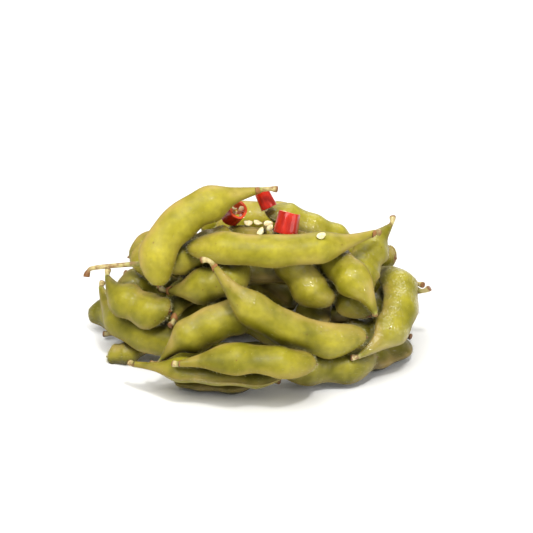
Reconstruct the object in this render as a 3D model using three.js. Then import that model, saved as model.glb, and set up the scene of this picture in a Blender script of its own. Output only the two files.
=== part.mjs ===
// A heap of boiled edamame pods, dressed with slices of red chilli and a few of its seeds.
// Every pod is one solid: a cut stalk, the knot where the flower sat, and a flat curved pod over its beans.
// Millimetres, +Z up, +X to the right and +Y to the back. The heap lies on z = 0, centred on the origin.
import * as THREE from 'three';
import { mergeVertices } from 'three/addons/utils/BufferGeometryUtils.js';

// Driving sizes of a pod
const podHalfWidth = 6.5; // seam to centre, over a bean
const podHalfThickness = 4.4; // flank to centre, over a bean
const waistWidth = 0.86; // share of the width that is left between two beans
const waistThickness = 0.64; // share of the thickness that is left between two beans
const neckShare = 0.14; // share of the width where the pod leaves its knot
const taperShare = 0.34; // share of the length over which the neck opens
const endShare = 0.16; // share of the length that rounds off to the tip
const beakLift = 2.2; // how far the tip sits towards the upper seam
const beakShare = 0.2; // share of the length over which the line lifts to the tip
const stalkRadius = 0.8;
const cutFlare = 1.2; // how much wider the stalk is at its cut end
const cutDome = 0.1; // how far the cut end stands out
const knotRadius = 1.05;
const knotBack = 0.5; // how far behind the neck the knot sits
const curlLength = 5; // the last stretch of a stalk, which curls
const curlMiddle = 0.4; // share of the curl where it has a ring
const usualCurl = 0.5; // radians
const sides = 8;
const bodyRings = 12;
const lastRing = 0.985; // share of the length at the last ring before the tip
const crowdTowardsNeck = 1.12; // powers that bring the rings closer together at the two ends
const crowdTowardsTip = 0.85;

// Driving sizes of the dressing
const sliceWall = 0.3; // share of a slice's radius
const sliceRecess = 1.6; // how deep the cut ends are hollow, down to the pith
const sliceTaper = 0.3; // how much the hollow narrows down to the pith
const sliceBelly = 0.2; // how much wider a slice is at half its length
const sliceSides = 14;
const seedSize = [1.6, 1.3, 0.45]; // half length, half width and half thickness
const seedBeak = 0.2; // share by which a seed is drawn out where it hung
const seedLean = 0.35; // how far a seed leans towards the eye, on its edge
const seedSides = 8;
const seedRows = 6;

// How the heap lies
const gap = 0.3; // clear space between neighbours
const press = 0.9; // how much the underside of a bean on the ground is pressed flat
const pressReach = 0.5; // what is lower than this touches the ground

// Share of the pod's length at which each bean sits, for pods of one, two and three beans
const beanPlaces = { 1: [0.52], 2: [0.4, 0.72], 3: [0.32, 0.56, 0.79] };
const beanReach = 0.1;

// Places are given as seen from the front, looking down on the heap at this angle:
// millimetres to the right, up in the view, and back from the front.
const viewElevation = THREE.MathUtils.degToRad(28);
const towardsEye = [0, -Math.cos(viewElevation), Math.sin(viewElevation)];
const upwards = [0, 0, 1];
const halfUp = [0, -0.5, 0.87];
const sideways = [0.94, -0.3, 0.16];

// Each pod's line runs through its neck, middle and tip. Its flat flank faces the eye unless the pod says
// otherwise.
const pods = [
  { name: 'top_front', beans: 3, stalk: 3, girth: 0.9,
    line: [[39, 34, -14], [7, 29, -24], [-25, 38, -14]] },
  { name: 'arch', beans: 3, line: [[1, 51, 4], [-26, 39, -5], [-35, 17, -16]], stalk: 7, curl: 0.3 },
  { name: 'back_left', beans: 2, line: [[-15, 34, 16], [-33, 31, 14], [-46, 29, 13]], stalk: 4 },
  { name: 'side_left', beans: 2, line: [[-17, 30, 10], [-35, 27, 4], [-43, 23, 2]], stalk: 4 },
  { name: 'mid_top', beans: 2, line: [[27, 32, -6], [6, 35, -9], [-14, 34, -8]], stalk: 4 },
  { name: 'back_right', beans: 3, stalk: 5, facing: upwards,
    line: [[39, 29, 14], [20, 38, 12], [5, 46, 14]] },
  { name: 'stalk_up', beans: 2, stalk: 8, curl: -0.9,
    line: [[3, 43, 16], [-7, 40, 15], [-20, 35, 14]] },
  { name: 'right_high', beans: 2, stalk: 5, curl: -0.8,
    line: [[48, 38, 16], [41, 29, 6], [35, 16, -8]] },
  { name: 'right_droop', beans: 2, line: [[41, 8, -26], [35, 19, -20], [23, 30, -2]], stalk: 2 },
  { name: 'right_big', beans: 3, line: [[38, -8, -36], [50, 7, -24], [49, 24, 0]], stalk: 4 },
  { name: 'right_back', beans: 2, stalk: 5, curl: -0.8,
    line: [[58, 16, 3], [46, 18, 10], [29, 20, 16]] },
  { name: 'right_shoulder', beans: 2, line: [[27, 26, 20], [40, 26, 14], [50, 25, 7]], stalk: 4 },
  { name: 'right_inner', beans: 2, line: [[26, 26, 0], [33, 14, -12], [39, 4, -20]], stalk: 4 },
  { name: 'right_lower', beans: 2, line: [[46, 15, -8], [41, 4, -22], [32, -1, -30]], stalk: 4 },
  { name: 'front_diagonal', beans: 3, stalk: 6, curl: -1.3,
    line: [[-13, 24, -30], [8, 4, -40], [38, -5, -38]] },
  { name: 'behind_diagonal', beans: 3, line: [[-23, 15, -25], [4, 9, -30], [31, 0, -28]], stalk: 3 },
  { name: 'centre', beans: 2, stalk: 4, facing: sideways,
    line: [[-4, 27, -6], [6, 18, -17], [14, 12, -22]] },
  { name: 'centre_right', beans: 2, line: [[5, 28, -10], [19, 22, -24], [31, 16, -30]], stalk: 4 },
  { name: 'centre_deep', beans: 2, line: [[16, 28, 8], [20, 17, 0], [19, 9, -8]], stalk: 4 },
  { name: 'left_middle', beans: 3, line: [[-7, 20, -8], [-28, 11, -16], [-43, 5, -14]], stalk: 5 },
  { name: 'left_dark', beans: 2, line: [[-20, 21, -2], [-35, 16, -7], [-47, 15, -8]], stalk: 4 },
  { name: 'left_low', beans: 3, line: [[-54, 14, -9], [-41, 1, -30], [-14, -3, -38]], stalk: 4 },
  { name: 'front_left', beans: 3, stalk: 6, curl: 1.2,
    line: [[-28, -11, -48], [-17, 1, -42], [1, 10, -32]] },
  { name: 'bottom_front', beans: 2, stalk: 3, facing: halfUp,
    line: [[-25, -10, -44], [-2, -8, -45], [21, -11, -43]] },
  { name: 'small_left', beans: 1, stalk: 1, girth: 0.6,
    line: [[-39, -5, -21], [-46, -7, -22], [-52, -8, -20]] },
  { name: 'bottom_long', beans: 3, stalk: 3, facing: upwards,
    line: [[-41, -10, -30], [-18, -12, -36], [11, -14, -36]] },
  { name: 'bottom_left', beans: 2, stalk: 4, facing: upwards,
    line: [[5, -16, -42], [-11, -16, -41], [-27, -14, -38]] },
  { name: 'bottom_right', beans: 2, stalk: 2, curl: -1,
    line: [[1, -16, -40], [21, -13, -36], [41, -9, -28]] },
  { name: 'right_under', beans: 2, stalk: 3, facing: upwards,
    line: [[33, -11, -31], [47, -7, -21], [54, -2, -12]] },
  { name: 'left_stem', beans: 2, stalk: 22, curl: -1.4,
    line: [[-39, 19, -3], [-26, 21, -2], [-7, 26, 2]] },
  { name: 'left_up', beans: 2, line: [[-52, 20, -4], [-45, 12, -12], [-30, 6, -20]], stalk: 4 },
  { name: 'left_far', beans: 2, line: [[-30, 3, -20], [-47, 6, -8], [-59, 10, 2]], stalk: 4 },
  { name: 'under_top', beans: 2, line: [[-30, 28, -10], [-16, 23, -19], [-2, 23, -20]], stalk: 4 },
  { name: 'base_1', beans: 3, stalk: 5, facing: upwards,
    line: [[-50, 0, -8], [-30, 2, -5], [-4, 1, -7]] },
  { name: 'base_2', beans: 2, stalk: 5, facing: upwards,
    line: [[-42, 9, 12], [-20, 9, 12], [0, 7, 8]] },
  { name: 'base_3', beans: 3, stalk: 4, facing: upwards,
    line: [[-28, -8, -27], [-2, -7, -24], [24, -7, -24]] },
  { name: 'base_4', beans: 3, stalk: 6, facing: upwards,
    line: [[40, 13, 20], [14, 17, 28], [-14, 17, 28]] },
  { name: 'base_5', beans: 2, line: [[8, 5, 4], [28, 6, 6], [48, 7, 8]], stalk: 4, facing: upwards },
  { name: 'base_6', beans: 2, stalk: 3, facing: upwards,
    line: [[54, -2, -12], [34, -1, -10], [12, -1, -10]] },
  { name: 'base_7', beans: 2, stalk: 6, facing: upwards,
    line: [[-6, 24, 44], [-24, 19, 34], [-42, 16, 26]] },
  { name: 'base_8', beans: 2, stalk: 4, facing: upwards,
    line: [[58, 18, 22], [38, 16, 24], [18, 12, 16]] },
  { name: 'inner_1', beans: 2, stalk: 4, facing: upwards,
    line: [[-28, 6, -14], [-24, 16, 2], [-16, 24, 20]] },
  { name: 'inner_3', beans: 2, stalk: 4, facing: upwards,
    line: [[28, 24, 20], [24, 14, 0], [20, 4, -20]] },
  { name: 'core_1', beans: 3, stalk: 4, facing: upwards,
    line: [[28, 20, 5], [0, 18, 2], [-26, 18, 3]] },
  { name: 'inner_2', beans: 2, stalk: 4, facing: upwards,
    line: [[0, 24, 22], [2, 13, 0], [0, 2, -22]] },
  { name: 'back_1', beans: 3, line: [[-36, 24, 24], [-12, 27, 30], [16, 26, 28]], stalk: 6 },
  { name: 'back_2', beans: 2, line: [[-20, 26, 12], [2, 28, 16], [24, 28, 18]], stalk: 4 },
  { name: 'back_4', beans: 2, line: [[46, 20, 14], [26, 24, 22], [4, 26, 24]], stalk: 5 },
  { name: 'back_5', beans: 3, line: [[-44, 20, 16], [-30, 24, 22], [-6, 30, 26]], stalk: 5 },
  { name: 'back_3', beans: 2, line: [[24, 34, 12], [8, 39, 16], [-14, 38, 18]], stalk: 7 },
];

// The chilli slices lie on the pods: where, which way they are turned, and their size
const slices = [
  { name: 'chilli_slice_left', place: [-7, 43, -18], axis: [0.45, -0.6, 0.65], radius: 4.1, length: 6.6 },
  { name: 'chilli_slice_top', place: [3.65, 48.6, -18], axis: [-0.42, 0.42, 0.79], radius: 3, length: 7.4 },
  { name: 'chilli_slice_front', place: [11.5, 39, -14], axis: [0.22, 0.42, 0.88], radius: 4.4, length: 8 },
];

// Wet seeds stick where they landed: how far to the right, how high in the view, and how they are spun
const seeds = [
  { name: 'chilli_seed_1', place: [-2.7, 38.6], spin: 0.3 },
  { name: 'chilli_seed_2', place: [1.1, 38.4], spin: -0.4 },
  { name: 'chilli_seed_3', place: [4.4, 38.9], spin: 0.2 },
  { name: 'chilli_seed_4', place: [3.2, 36.6], spin: 0.9 },
  { name: 'chilli_seed_5', place: [6.6, 37.2], spin: -0.2 },
  { name: 'chilli_seed_6', place: [22.5, 33.9], spin: 0.1 },
];

const podMaterial = new THREE.MeshStandardMaterial({ color: 0xa9ab45, roughness: 0.5, metalness: 0 });
const chilliMaterial = new THREE.MeshStandardMaterial({ color: 0xd9301a, roughness: 0.3, metalness: 0 });
const seedMaterial = new THREE.MeshStandardMaterial({ color: 0xe6cf86, roughness: 0.6, metalness: 0 });

const smooth = (t) => {
  const c = THREE.MathUtils.clamp(t, 0, 1);
  return c * c * (3 - 2 * c);
};

// A point from its place in the view, and how high a point looks there
function inHeap([right, high, back]) {
  return new THREE.Vector3(right, back, (high - back * Math.sin(viewElevation)) / Math.cos(viewElevation));
}

const seenHeight = ({ y, z }) => z * Math.cos(viewElevation) + y * Math.sin(viewElevation);

// Swell over the beans, from 0 between them to 1 over one, at a share of the length
function swell(share, beans) {
  const bumps = beanPlaces[beans].map((place) => Math.exp(-(((share - place) / beanReach) ** 2)));
  return Math.min(bumps.reduce((total, bump) => total + bump, 0), 1);
}

// Half width and half thickness of the pod at a share of its length
function section(share, { beans, girth = 1 }) {
  const open = neckShare + (1 - neckShare) * smooth(share / taperShare);
  const past = Math.max(0, (share - (1 - endShare)) / endShare);
  const round = Math.sqrt(Math.max(0, 1 - past * past));
  const full = swell(share, beans);
  return {
    width: girth * podHalfWidth * open * round * (waistWidth + (1 - waistWidth) * full),
    thickness: girth * podHalfThickness * open * round * (waistThickness + (1 - waistThickness) * full),
  };
}

// The pod's middle line: a bow through its three places
function middleLine({ line }) {
  const [neck, middle, tip] = line.map(inHeap);
  const handle = middle.multiplyScalar(2).sub(neck.clone().add(tip).multiplyScalar(0.5));
  return new THREE.QuadraticBezierCurve3(neck, handle, tip);
}

// Frame of the section at a share of the length: along, across the seams and out of the flank
function frameAt(bow, pod, share) {
  const along = bow.getTangentAt(share);
  const facing = new THREE.Vector3(...(pod.facing ?? towardsEye));
  const flank = facing.addScaledVector(along, -facing.dot(along)).normalize();
  return { along, flank, across: new THREE.Vector3().crossVectors(flank, along) };
}

// A ring of the stalk, at a distance back from the neck: straight first, then round the curl to the cut end
function stalkRing(neck, frame, { stalk, curl = usualCurl }, back, radius) {
  const curled = Math.min(stalk, curlLength);
  const straight = stalk - curled;
  const angle = (Math.max(0, back - straight) / curled) * curl;
  const bend = curled / curl;
  const centre = neck
    .clone()
    .addScaledVector(frame.along, -Math.min(back, straight) - bend * Math.sin(angle))
    .addScaledVector(frame.across, bend * (1 - Math.cos(angle)));
  const turned = {
    flank: frame.flank,
    across: frame.across
      .clone()
      .multiplyScalar(Math.cos(angle))
      .addScaledVector(frame.along, Math.sin(angle)),
  };
  return { centre, width: radius, thickness: radius, frame: turned };
}

// Rings from the stalk's cut end to the pod's tip: centre, half width, half thickness and frame
function ringsOf(pod) {
  const bow = middleLine(pod);
  const neck = bow.getPointAt(0);
  const neckFrame = frameAt(bow, pod, 0);
  const knot = Math.min(knotBack, pod.stalk / 4);
  const rings = [
    stalkRing(neck, neckFrame, pod, pod.stalk, stalkRadius * cutFlare),
    stalkRing(neck, neckFrame, pod, pod.stalk - Math.min(pod.stalk, curlLength) * curlMiddle, stalkRadius),
    stalkRing(neck, neckFrame, pod, Math.max(pod.stalk - curlLength, pod.stalk * curlMiddle), stalkRadius),
    stalkRing(neck, neckFrame, pod, knot, knotRadius),
  ];
  for (let i = 1; i <= bodyRings; i += 1) {
    const quarter = (Math.PI / 2) * (i / bodyRings) ** crowdTowardsTip;
    const share = lastRing * Math.sin(quarter) ** crowdTowardsNeck;
    const frame = frameAt(bow, pod, share);
    const lift = beakLift * (pod.girth ?? 1) * smooth((share - (1 - beakShare)) / beakShare);
    const centre = bow.getPointAt(share).addScaledVector(frame.across, lift);
    rings.push({ centre, frame, ...section(share, pod) });
  }
  const endFrame = frameAt(bow, pod, 1);
  const tip = bow.getPointAt(1).addScaledVector(endFrame.across, beakLift * (pod.girth ?? 1));
  return { rings, tip, cut: stalkRing(neck, neckFrame, pod, pod.stalk + cutDome, 0).centre };
}

// A geometry with only its positions left and its shared vertices merged
function closed(geometry) {
  geometry.deleteAttribute('normal');
  geometry.deleteAttribute('uv');
  return mergeVertices(geometry, 1e-4);
}

// A sphere's rows of vertices drawn out over the rings: its first pole is the cut stalk, its last the tip
function podGeometry({ rings, tip, cut }) {
  const geometry = new THREE.SphereGeometry(1, sides, rings.length + 1);
  const position = geometry.getAttribute('position');
  for (let row = 0; row <= rings.length + 1; row += 1) {
    for (let column = 0; column <= sides; column += 1) {
      const angle = (-2 * Math.PI * column) / sides;
      const point = row === 0 ? cut.clone() : tip.clone();
      if (row > 0 && row <= rings.length) {
        const { centre, width, thickness, frame } = rings[row - 1];
        point.copy(centre).addScaledVector(frame.across, width * Math.cos(angle));
        point.addScaledVector(frame.flank, thickness * Math.sin(angle));
      }
      position.setXYZ(row * (sides + 1) + column, point.x, point.y, point.z);
    }
  }
  return closed(geometry);
}

const threeAbreast = 0.8; // how much wider than thick, on each side, a pod has three balls abreast

// Balls that fill a pod, to find what it touches: three abreast where it is flat, one in the stalk
function podBalls({ rings }) {
  const balls = [];
  rings.forEach((ring, i) => {
    const next = rings[i + 1] ?? ring;
    for (const share of [0, 0.5]) {
      const width = THREE.MathUtils.lerp(ring.width, next.width, share);
      const radius = THREE.MathUtils.lerp(ring.thickness, next.thickness, share);
      const centre = ring.centre.clone().lerp(next.centre, share);
      const side = Math.max(0, width - radius);
      for (const offset of side > threeAbreast ? [-side, 0, side] : [0]) {
        balls.push({ at: centre.clone().addScaledVector(ring.frame.across, offset), radius });
      }
    }
  });
  return balls;
}

function podBody(pod) {
  const shape = ringsOf(pod);
  const axis = shape.tip.clone().sub(shape.rings[3].centre);
  const name = `pod_${pod.name}`;
  return { name, geometry: podGeometry(shape), material: podMaterial, balls: podBalls(shape), axis };
}

// A slice of chilli: a thick wall round the pith, which stands a little back from both cut ends. It is
// light and wet, so it stays turned as it fell and only slides.
function sliceBody({ name, place, axis, radius, length }) {
  const half = length / 2;
  const wall = radius * sliceWall;
  const bore = radius - wall;
  const outline = [
    [0, sliceRecess - half],
    [bore - sliceTaper, sliceRecess - half],
    [bore, -half],
    [radius - sliceBelly, -half],
    [radius, 0],
    [radius - sliceBelly, half],
    [bore, half],
    [bore - sliceTaper, half - sliceRecess],
    [0, half - sliceRecess],
  ].map(([out, height]) => new THREE.Vector2(out, height));
  const centre = inHeap(place);
  const direction = new THREE.Vector3(...axis).normalize();
  const turn = new THREE.Quaternion().setFromUnitVectors(new THREE.Vector3(0, 1, 0), direction);
  const geometry = closed(new THREE.LatheGeometry(outline, sliceSides)).applyQuaternion(turn);
  const balls = [];
  for (const height of [-1, 0, 1]) {
    for (let i = 0; i < sliceSides; i += 1) {
      const at = new THREE.Vector3();
      at.setFromCylindricalCoords(bore, (2 * Math.PI * i) / sliceSides, height * (half - wall));
      balls.push({ at: at.applyQuaternion(turn).add(centre), radius: wall });
    }
  }
  for (const way of [-1, 1]) {
    const at = new THREE.Vector3(0, way * (half - bore), 0).applyQuaternion(turn).add(centre);
    balls.push({ at, radius: bore });
  }
  geometry.translate(centre.x, centre.y, centre.z);
  direction.multiplyScalar(length);
  return { name, geometry, material: chilliMaterial, balls, axis: direction, keepsTurn: true };
}

// A flat seed, drawn out to a blunt beak where it hung
function seedGeometry() {
  const geometry = closed(new THREE.SphereGeometry(1, seedSides, seedRows).rotateX(Math.PI / 2));
  const position = geometry.getAttribute('position');
  for (let i = 0; i < position.count; i += 1) {
    const beak = 1 + seedBeak * Math.max(0, position.getX(i));
    position.setX(i, position.getX(i) * beak);
  }
  return geometry.scale(...seedSize);
}

// How the pieces are laid
const laidSteps = 206;
const firstSink = 0.5; // millimetres a piece sinks in the first step
const sinkShare = 0.8; // share of the steps over which that fades to nothing
const leastSink = 0.01; // what sinks less than this only comes to rest
const mostTurn = 0.06; // radians in one step
const leastTurn = 1e-9;
const hold = 0.412; // share of a sideways push that rubbing lets through
const placePull = 0.06; // share of the way back to its place in the view that a piece goes in a step
const turnPull = 0.0665; // the same for its turn
const mostShift = 15; // how far to the back or the front a piece may shift on its way down
const cell = 12; // wider than two balls
const cellsAcross = 100; // more than the heap covers

const cellKey = (x, y) => Math.floor(x / cell) * cellsAcross + Math.floor(y / cell);

// Gives a piece its middle, which it moves about, and how easily it swings and rolls
function loosen(body) {
  const middle = new THREE.Vector3();
  for (const { at } of body.balls) middle.add(at);
  middle.divideScalar(body.balls.length);
  body.geometry.translate(-middle.x, -middle.y, -middle.z);
  body.place = middle.clone();
  body.turn = new THREE.Quaternion();
  body.swingInertia = body.axis.lengthSq() / 12;
  body.rollInertia = podHalfWidth ** 2 / 2;
  body.axis.normalize();
  for (const ball of body.balls) ball.rest = ball.at.clone().sub(middle);
  return body;
}

function refresh(body) {
  for (const ball of body.balls) ball.at.copy(ball.rest).applyQuaternion(body.turn).add(body.place);
}

// The turn that a push gives, slow across the piece's length and quick about it
function turnBy(body, torque) {
  const axis = body.axis.clone().applyQuaternion(body.turn);
  const rolling = axis.clone().multiplyScalar(torque.dot(axis));
  const swinging = torque.clone().sub(rolling);
  return swinging.divideScalar(body.swingInertia).addScaledVector(rolling, 1 / body.rollInertia);
}

// Where the piece is closer to the ground or to a laid piece than it may be
function touches(body, laid) {
  const found = [];
  for (const { at, radius } of body.balls) {
    const lowest = radius - press * Math.min(1, radius / podHalfThickness);
    if (at.z < lowest) {
      found.push({ point: at.clone(), normal: new THREE.Vector3(0, 0, 1), depth: lowest - at.z });
    }
    for (let x = -cell; x <= cell; x += cell) {
      for (let y = -cell; y <= cell; y += cell) {
        for (const other of laid.get(cellKey(at.x + x, at.y + y)) ?? []) {
          const reach = radius + other.radius + gap;
          if (Math.abs(at.z - other.at.z) < reach && at.distanceToSquared(other.at) < reach * reach) {
            const apart = at.distanceTo(other.at);
            const normal = at.clone().sub(other.at).divideScalar(apart);
            const point = at.clone().addScaledVector(normal, -radius);
            found.push({ point, normal, depth: reach - apart });
          }
        }
      }
    }
  }
  return found;
}

// Lowers one piece on to those laid before it. It tips and rolls until they carry it, and shifts to the
// back or the front until it looks as high from the front as where it started.
function lay(body, laid) {
  const home = body.place.clone();
  const level = new THREE.Quaternion();
  refresh(body);
  for (let step = 0; step < laidSteps; step += 1) {
    const sink = firstSink * Math.max(0, 1 - step / (laidSteps * sinkShare)) ** 2;
    const sinking = sink > leastSink;
    if (sinking) {
      const low = seenHeight(home) - seenHeight(body.place);
      body.place.x += (home.x - body.place.x) * placePull;
      const wanted = body.place.y + (low / Math.sin(viewElevation)) * placePull;
      body.place.y = THREE.MathUtils.clamp(wanted, home.y - mostShift, home.y + mostShift);
      body.place.z -= sink;
      body.turn.slerp(level, turnPull);
    }
    refresh(body);
    const found = touches(body, laid);
    if (found.length === 0) continue;
    const slide = new THREE.Vector3();
    const turn = new THREE.Vector3();
    for (const { point, normal, depth } of found) {
      const torque = point.sub(body.place).cross(normal);
      const turned = turnBy(body, torque);
      const push = depth / (1 + turned.dot(torque));
      slide.addScaledVector(normal, push);
      turn.addScaledVector(turned, push);
    }
    const share = 1 / Math.sqrt(found.length);
    const free = sinking ? hold : 1;
    body.place.add(slide.multiply(new THREE.Vector3(free, free, 1)).multiplyScalar(share));
    turn.z *= free;
    const angle = Math.min(turn.length() * share, mostTurn);
    if (angle > leastTurn && !body.keepsTurn) {
      body.turn.premultiply(new THREE.Quaternion().setFromAxisAngle(turn.normalize(), angle));
    }
    refresh(body);
  }
  for (const ball of body.balls) {
    const key = cellKey(ball.at.x, ball.at.y);
    if (!laid.has(key)) laid.set(key, []);
    laid.get(key).push(ball);
  }
}

const sightReach = 80; // how far before and behind the middle a seed looks for the heap
const sightStep = 0.1;
const seedPasses = 8; // how often a seed is pushed clear of all that it touches
const seedRoom = 1.45; // radius of the ball that stands for a seed when the next ones land

// Half the room that a turned seed takes up along a direction
function seedReach(turn, direction) {
  const [length, width, thickness] = seedSize;
  const own = direction.clone().applyQuaternion(turn.clone().invert());
  return Math.hypot(own.x * length * (1 + seedBeak), own.y * width, own.z * thickness);
}

// Brings a seed in along the line of sight until it meets the heap. It sticks there, leaning to the eye.
function stick({ name, place, spin }, laid) {
  const at = new THREE.Vector3();
  let near;
  let met;
  for (let back = -sightReach; back < sightReach && !met; back += sightStep) {
    at.copy(inHeap([...place, back]));
    near = [-cell, 0, cell]
      .flatMap((x) => [-cell, 0, cell].map((y) => cellKey(at.x + x, at.y + y)))
      .flatMap((key) => laid.get(key) ?? []);
    met = near.find((ball) => at.distanceTo(ball.at) < ball.radius + gap);
  }
  const facing = at.clone().sub(met.at).normalize();
  facing.addScaledVector(new THREE.Vector3(...towardsEye), seedLean).normalize();
  const mesh = new THREE.Mesh(seedGeometry(), seedMaterial);
  mesh.name = name;
  mesh.position.copy(at);
  mesh.quaternion.setFromUnitVectors(new THREE.Vector3(0, 0, 1), facing);
  mesh.rotateZ(spin);
  for (let pass = 0; pass < seedPasses; pass += 1) {
    for (const ball of near) {
      const out = mesh.position.clone().sub(ball.at);
      const apart = out.length();
      const clear = ball.radius + seedReach(mesh.quaternion, out.normalize()) + gap;
      if (apart < clear) mesh.position.addScaledVector(out, clear - apart);
    }
  }
  laid.get(cellKey(mesh.position.x, mesh.position.y)).push({ at: mesh.position.clone(), radius: seedRoom });
  return mesh;
}

// What comes close to the ground lies flat on it
function pressFlat(mesh) {
  mesh.updateMatrixWorld();
  const back = mesh.matrixWorld.clone().invert();
  const position = mesh.geometry.getAttribute('position');
  const point = new THREE.Vector3();
  for (let i = 0; i < position.count; i += 1) {
    point.fromBufferAttribute(position, i).applyMatrix4(mesh.matrixWorld);
    if (point.z < pressReach) {
      point.setZ(0).applyMatrix4(back);
      position.setXYZ(i, point.x, point.y, point.z);
    }
  }
}

const heap = new THREE.Group();
const laid = new Map();
const fallen = pods.map(podBody).map(loosen).sort((a, b) => a.place.z - b.place.z);
for (const body of [...fallen, ...slices.map(sliceBody).map(loosen)]) {
  lay(body, laid);
  const mesh = new THREE.Mesh(body.geometry, body.material);
  mesh.name = body.name;
  mesh.position.copy(body.place);
  mesh.quaternion.copy(body.turn);
  pressFlat(mesh);
  heap.add(mesh);
}
heap.add(...seeds.map((seed) => stick(seed, laid)));

const box = new THREE.Box3().setFromObject(heap, true);
heap.position.set(-(box.min.x + box.max.x) / 2, -(box.min.y + box.max.y) / 2, 0);

const group = new THREE.Group();
group.add(heap);

export default group;
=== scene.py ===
import math
import random

import bmesh
import bpy
from mathutils import Matrix, Vector, noise


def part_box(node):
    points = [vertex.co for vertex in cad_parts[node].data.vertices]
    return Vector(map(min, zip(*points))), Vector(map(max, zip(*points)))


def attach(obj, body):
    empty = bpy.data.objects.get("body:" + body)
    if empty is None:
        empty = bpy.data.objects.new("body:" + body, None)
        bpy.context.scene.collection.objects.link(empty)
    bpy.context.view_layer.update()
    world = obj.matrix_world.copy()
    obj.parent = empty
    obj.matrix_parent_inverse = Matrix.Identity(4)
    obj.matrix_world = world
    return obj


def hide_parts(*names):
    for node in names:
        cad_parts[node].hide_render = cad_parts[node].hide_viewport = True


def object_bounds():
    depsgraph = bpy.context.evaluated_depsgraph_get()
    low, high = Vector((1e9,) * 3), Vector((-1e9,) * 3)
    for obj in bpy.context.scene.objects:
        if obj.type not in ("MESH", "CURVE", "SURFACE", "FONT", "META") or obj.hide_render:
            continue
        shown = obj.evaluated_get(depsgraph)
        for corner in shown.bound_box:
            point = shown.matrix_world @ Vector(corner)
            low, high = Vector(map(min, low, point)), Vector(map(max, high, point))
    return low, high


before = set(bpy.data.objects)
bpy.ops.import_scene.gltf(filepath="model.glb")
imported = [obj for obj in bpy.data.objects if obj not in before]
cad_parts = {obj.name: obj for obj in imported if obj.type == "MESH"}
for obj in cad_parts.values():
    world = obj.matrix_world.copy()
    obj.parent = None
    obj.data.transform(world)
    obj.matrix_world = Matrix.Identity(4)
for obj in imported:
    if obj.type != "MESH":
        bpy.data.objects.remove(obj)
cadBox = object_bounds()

mm = 0.001
mergeWithin = 0.002 * mm
mixFactor, mixA, mixB, mixResult = 0, 6, 7, 2  # sockets of a Mix node that mixes colours


def srgb(code):
    channels = [int(code[i:i + 2], 16) / 255 for i in (1, 3, 5)]
    linear = [c / 12.92 if c <= 0.04045 else ((c + 0.055) / 1.055) ** 2.4 for c in channels]
    return (*linear, 1)


def setInputs(tree, node, values):
    # a value is a plain one, or the socket of another node
    for name, value in values.items():
        if isinstance(value, bpy.types.NodeSocket):
            tree.links.new(value, node.inputs[name])
        else:
            node.inputs[name].default_value = value


def addNode(tree, kind, settings=None, inputs=None):
    node = tree.nodes.new(kind)
    for name, value in (settings or {}).items():
        setattr(node, name, value)
    setInputs(tree, node, inputs or {})
    return node


def newMaterial(name):
    material = bpy.data.materials.new(name)
    material.use_nodes = True
    return material, material.node_tree, material.node_tree.nodes["Principled BSDF"]


def clamped(value, low=0, high=1):
    return min(max(value, low), high)


def fade(distance, wide):
    # 1 at no distance, and softly down to 0 past the width
    return math.exp(-((distance / wide) ** 2))


def selectOnly(piece):
    bpy.ops.object.select_all(action="DESELECT")
    bpy.context.view_layer.objects.active = piece
    piece.select_set(True)


def added(operator, **settings):
    # what the operator adds, with nothing else selected
    bpy.ops.object.select_all(action="DESELECT")
    operator(**settings)
    return bpy.context.object


def editAll(piece, operator, **settings):
    # an edit mode operator on every face of the piece
    selectOnly(piece)
    bpy.ops.object.mode_set(mode="EDIT")
    bpy.ops.mesh.select_mode(type="FACE")
    bpy.ops.mesh.select_all(action="SELECT")
    operator(**settings)
    bpy.ops.object.mode_set(mode="OBJECT")


def applyAll(piece):
    selectOnly(piece)
    for modifier in list(piece.modifiers):
        bpy.ops.object.modifier_apply(modifier=modifier.name)


def copyOf(model):
    # each copy has a mesh of its own
    copy = model.copy()
    copy.data = model.data.copy()
    bpy.context.scene.collection.objects.link(copy)
    return copy


def joinAll(pieces):
    selectOnly(pieces[0])
    for piece in pieces:
        piece.select_set(True)
    bpy.ops.object.join()
    return pieces[0]


def turnTo(axis, side, centre):
    # z along the axis, x towards the side
    x = (side - side.dot(axis) * axis).normalized()
    return Matrix.Translation(centre) @ Matrix((x, axis.cross(x), axis)).transposed().to_4x4()


def nodesNamed(start):
    return sorted((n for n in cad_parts.values() if n.name.startswith(start)), key=lambda n: n.name)


def mergedCopy(node):
    # the frame's meshes are loose triangles, so the copy is merged before its shape is read
    mesh = bmesh.new()
    mesh.from_mesh(node.data)
    bmesh.ops.remove_doubles(mesh, verts=mesh.verts, dist=mergeWithin)
    return mesh


def finishPiece(piece, name, slotName, *nodes):
    piece.name = name
    piece.data.name = name
    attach(piece, "root")
    if nodes:
        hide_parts(*nodes)
    return piece


# The camera looks at the heap as the photo does, from a long way off
cameraSetup = {
    "lens": 150, "sensor": 36, "elevation": 28, "clip": (0.01, 20),
    "pixelsPerMm": 2.74, "frame": 533,
    "groundPixel": (255, 332),                    # a point of the ground under the heap in the picture,
    "groundPoint": (-1.2 * mm, 5.8 * mm, 0),      # and the same point in the frame
}


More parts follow.
